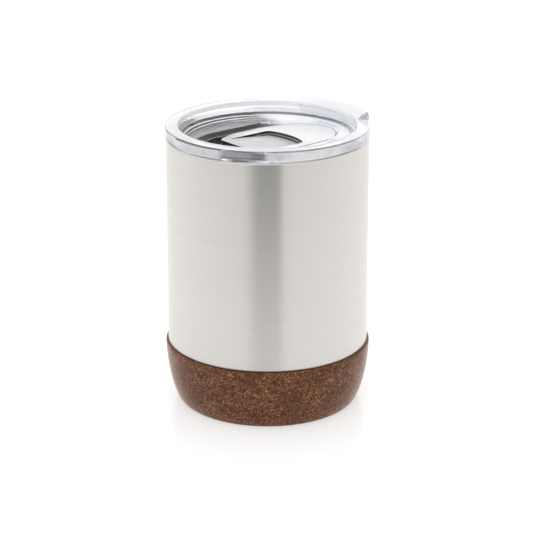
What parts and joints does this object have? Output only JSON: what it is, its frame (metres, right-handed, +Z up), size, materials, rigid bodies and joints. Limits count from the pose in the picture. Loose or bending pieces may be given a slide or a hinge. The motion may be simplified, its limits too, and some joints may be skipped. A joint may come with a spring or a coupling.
{
  "type": "insulated travel tumbler",
  "caption": "Short double-wall steel travel tumbler with a cork base and a clear press-in lid with a sliding drink closure.",
  "frame": {"origin": "middle of the cork base's flat underside, on the cup's axis", "axes": "+Z up along the cup's axis; +X from the axis to the middle of the raised drinking lip; the slider opens towards -X"},
  "size_m": [0.082, 0.082, 0.1165],
  "materials": {
    "brushed_steel": "brushed round the cup",
    "plain_steel": "polished or as welded",
    "cork": "dark pressed cork granules, matt",
    "clear_plastic": "clear, polished",
    "milky_plastic": "milky white, let light through, polished",
    "silicone": "translucent, satin",
    "epoxy": "cured glue",
    "solder": "cast drop",
    "getter_alloy": "pressed powder"
  },
  "bodies": {
    "cup": {"outer_shell": "brushed_steel", "inner_liner": "brushed_steel", "rim_weld_bead": "plain_steel", "vacuum_base_plate": "plain_steel", "base_weld_bead": "plain_steel", "port_solder_seal": "solder", "getter_pill": "getter_alloy", "getter_clip": "plain_steel", "cork_base": "cork", "cork_adhesive": "epoxy", "base_adhesive_pad": "epoxy"},
    "seal": {"lid_seal": "silicone"},
    "lid": {"lid_body": "clear_plastic"},
    "slide": {"slider": "milky_plastic", "slider_pad": "silicone", "slider_clip": "milky_plastic"}
  },
  "joints": [
    {"name": "lid_lift", "type": "slide", "parent": "cup", "child": "seal", "axis": [0, 0, 1], "range_m": [0, 0.04]},
    {"name": "lid_turn", "type": "hinge", "parent": "seal", "child": "lid", "pos_m": [0, 0, 0.1066], "axis": [0, 0, 1], "continuous": true},
    {"name": "slider_slide", "type": "slide", "parent": "lid", "child": "slide", "axis": [-1, 0, 0], "range_m": [0, 0.01]}
  ]
}
